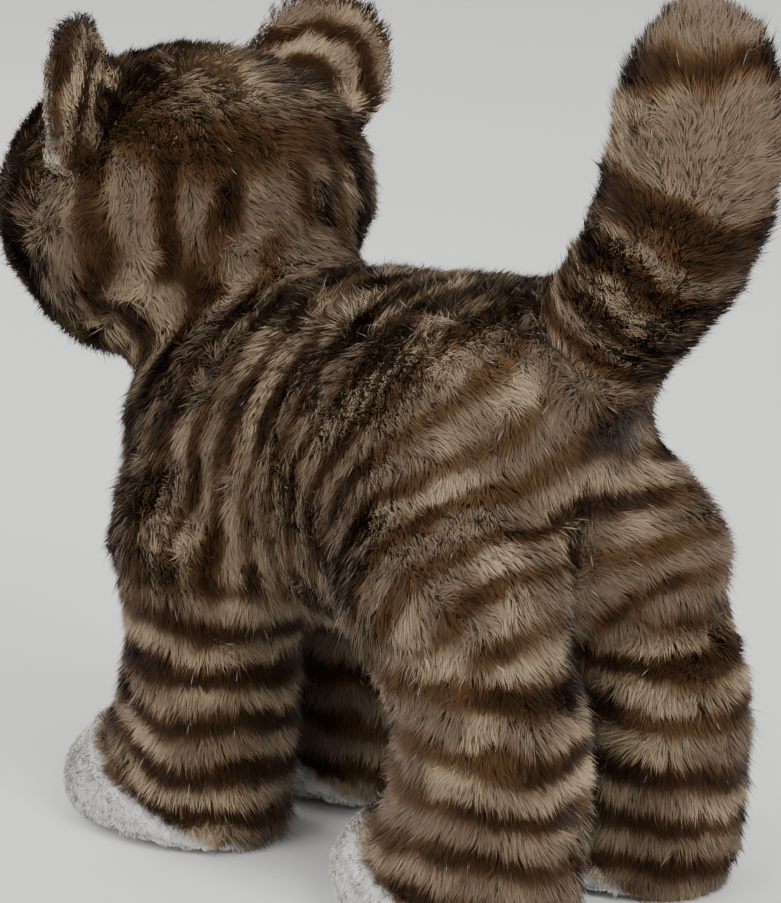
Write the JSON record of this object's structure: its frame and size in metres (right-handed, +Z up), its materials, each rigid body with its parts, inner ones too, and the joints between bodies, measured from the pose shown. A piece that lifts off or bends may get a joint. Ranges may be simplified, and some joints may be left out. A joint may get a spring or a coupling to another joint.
{
  "type": "plush cat",
  "caption": "Standing stuffed tabby kitten with a raised tail, white toes, jointed soft head, ears, legs and tail.",
  "frame": {"origin": "on the floor under the middle of the outline", "axes": "+Z up; the cat faces -Y; +X is the cat's own left side"},
  "size_m": [0.1166, 0.2524, 0.227],
  "materials": {
    "tabby_plush": "soft tabby plush, 7 mm pile, dark stripes on taupe",
    "white_plush": "short smooth white plush",
    "ear_lining": "pale tan short plush",
    "stuffing": "polyester fibre filling",
    "seam_thread": "brown sewing thread",
    "mouth_thread": "dark embroidery thread",
    "nose": "satin-stitched dusty pink thread",
    "eye": "glossy amber-brown safety eye, dark pupil",
    "washer": "milky nylon"
  },
  "bodies": {
    "torso": {"torso_stuffing": "stuffing", "side_panel_left": "tabby_plush", "side_panel_right": "tabby_plush", "belly_gusset": "tabby_plush", "closing_stitches": "seam_thread"},
    "neck": {"neck_stuffing": "stuffing", "neck_seam": "seam_thread"},
    "head": {"head_stuffing": "stuffing", "crown_gusset": "tabby_plush", "head_side_left": "tabby_plush", "head_side_right": "tabby_plush", "muzzle": "white_plush", "mouth_stitch": "mouth_thread", "nose": "nose", "eye_left": "eye", "eye_washer_left": "washer", "eye_right": "eye", "eye_washer_right": "washer"},
    "ear_left": {"ear_back_left": "tabby_plush", "ear_lining_left": "ear_lining"},
    "ear_right": {"ear_back_right": "tabby_plush", "ear_lining_right": "ear_lining"},
    "leg_front_left": {"front_left_stuffing": "stuffing", "front_left_panel_outer": "tabby_plush", "front_left_panel_inner": "tabby_plush", "front_left_toe_cap": "white_plush", "front_left_sole": "white_plush"},
    "leg_front_right": {"front_right_stuffing": "stuffing", "front_right_panel_outer": "tabby_plush", "front_right_panel_inner": "tabby_plush", "front_right_toe_cap": "white_plush", "front_right_sole": "white_plush"},
    "leg_hind_left": {"hind_left_stuffing": "stuffing", "hind_left_panel_outer": "tabby_plush", "hind_left_panel_inner": "tabby_plush", "hind_left_toe_cap": "white_plush", "hind_left_sole": "white_plush"},
    "leg_hind_right": {"hind_right_stuffing": "stuffing", "hind_right_panel_outer": "tabby_plush", "hind_right_panel_inner": "tabby_plush", "hind_right_toe_cap": "white_plush", "hind_right_sole": "white_plush"},
    "tail_root": {"tail_root_stuffing": "stuffing"},
    "tail": {"tail_stuffing": "stuffing", "tail_panel_left": "tabby_plush", "tail_panel_right": "tabby_plush"}
  },
  "joints": [
    {"name": "neck_turn", "type": "hinge", "parent": "torso", "child": "neck", "pos_m": [0, -0.051, 0.13653], "axis": [0, 0, 1], "range_deg": [-22, 22], "stiffness_Nm_per_rad": 0.6},
    {"name": "head_nod", "type": "hinge", "parent": "neck", "child": "head", "pos_m": [0, -0.051, 0.13653], "axis": [1, 0, 0], "range_deg": [-10, 10], "stiffness_Nm_per_rad": 0.9},
    {"name": "ear_fold_left", "type": "hinge", "parent": "head", "child": "ear_left", "pos_m": [0.03752, -0.07051, 0.18411], "axis": [0.6683, 0.4176, -0.6157], "range_deg": [-20, 20], "stiffness_Nm_per_rad": 0.03},
    {"name": "ear_fold_right", "type": "hinge", "parent": "head", "child": "ear_right", "pos_m": [-0.03752, -0.07051, 0.18411], "axis": [0.6683, -0.4176, 0.6157], "range_deg": [-20, 20], "stiffness_Nm_per_rad": 0.03},
    {"name": "front_left_swing", "type": "hinge", "parent": "torso", "child": "leg_front_left", "pos_m": [0.027, -0.03494, 0.08002], "axis": [1, 0, 0], "range_deg": [-13, 13], "stiffness_Nm_per_rad": 0.8},
    {"name": "front_right_swing", "type": "hinge", "parent": "torso", "child": "leg_front_right", "pos_m": [-0.027, -0.03494, 0.08002], "axis": [1, 0, 0], "range_deg": [-13, 13], "stiffness_Nm_per_rad": 0.8},
    {"name": "hind_left_swing", "type": "hinge", "parent": "torso", "child": "leg_hind_left", "pos_m": [0.0288, 0.055, 0.08403], "axis": [1, 0, 0], "range_deg": [-13, 13], "stiffness_Nm_per_rad": 0.8},
    {"name": "hind_right_swing", "type": "hinge", "parent": "torso", "child": "leg_hind_right", "pos_m": [-0.0288, 0.055, 0.08403], "axis": [1, 0, 0], "range_deg": [-13, 13], "stiffness_Nm_per_rad": 0.8},
    {"name": "tail_lift", "type": "hinge", "parent": "torso", "child": "tail_root", "pos_m": [0, 0.07004, 0.13799], "axis": [1, 0, 0], "range_deg": [-20, 20], "stiffness_Nm_per_rad": 0.3},
    {"name": "tail_wag", "type": "hinge", "parent": "tail_root", "child": "tail", "pos_m": [0, 0.07004, 0.13799], "axis": [0, 0, 1], "range_deg": [-22, 22], "stiffness_Nm_per_rad": 0.3}
  ]
}
